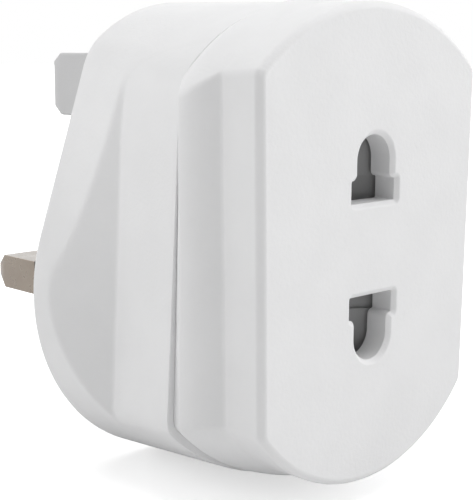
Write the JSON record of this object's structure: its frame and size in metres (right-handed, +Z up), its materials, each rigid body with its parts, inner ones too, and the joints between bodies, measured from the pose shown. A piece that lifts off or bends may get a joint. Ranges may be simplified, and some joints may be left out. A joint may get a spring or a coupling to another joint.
{
  "type": "shaver socket",
  "caption": "Fused plug-in adaptor with a shaver outlet: keyhole apertures behind a sliding shutter in front, a three-pin plug behind.",
  "frame": {"origin": "on the pin face, on the centreline, level with the midpoint between the two apertures", "axes": "+Y out of the pin face along the pins, +Z up towards the earth pin, +X to the right as the user faces the socket"},
  "size_m": [0.0424, 0.0529, 0.0527],
  "materials": {
    "white_moulding": "fine matte",
    "shutter_moulding": "satin",
    "inner_moulding": "matte",
    "sleeve": "matte",
    "pin_brass": "tarnished satin",
    "contact_brass": "satin",
    "spring_steel": "drawn",
    "screw_steel": "zinc",
    "fuse_metal": "nickel",
    "fuse_ceramic": "glazed"
  },
  "bodies": {
    "adaptor": {"front_cover": "white_moulding", "rear_housing": "white_moulding", "contact_block": "inner_moulding", "shutter_spring": "spring_steel", "live_pin": "pin_brass", "neutral_pin": "pin_brass", "live_pin_sleeve": "sleeve", "neutral_pin_sleeve": "sleeve", "earth_pin": "white_moulding", "line_contact": "contact_brass", "neutral_contact": "contact_brass", "fuse_clip_line": "contact_brass", "fuse_clip_load": "contact_brass", "assembly_screws": "screw_steel"},
    "shutter": {"shutter": "shutter_moulding"},
    "fuse_drawer": {"fuse_carrier": "white_moulding", "fuse_tube": "fuse_ceramic", "fuse_cap_line": "fuse_metal", "fuse_cap_load": "fuse_metal"}
  },
  "joints": [
    {"name": "shutter_slide", "type": "slide", "parent": "adaptor", "child": "shutter", "axis": [1, 0, 0], "range_m": [0, 0.008], "stiffness_N_per_m": 150, "springref_m": -0.003, "deforming": ["shutter_spring"]},
    {"name": "fuse_drawer_slide", "type": "slide", "parent": "adaptor", "child": "fuse_drawer", "axis": [0, 1, 0], "range_m": [0, 0.012]}
  ]
}
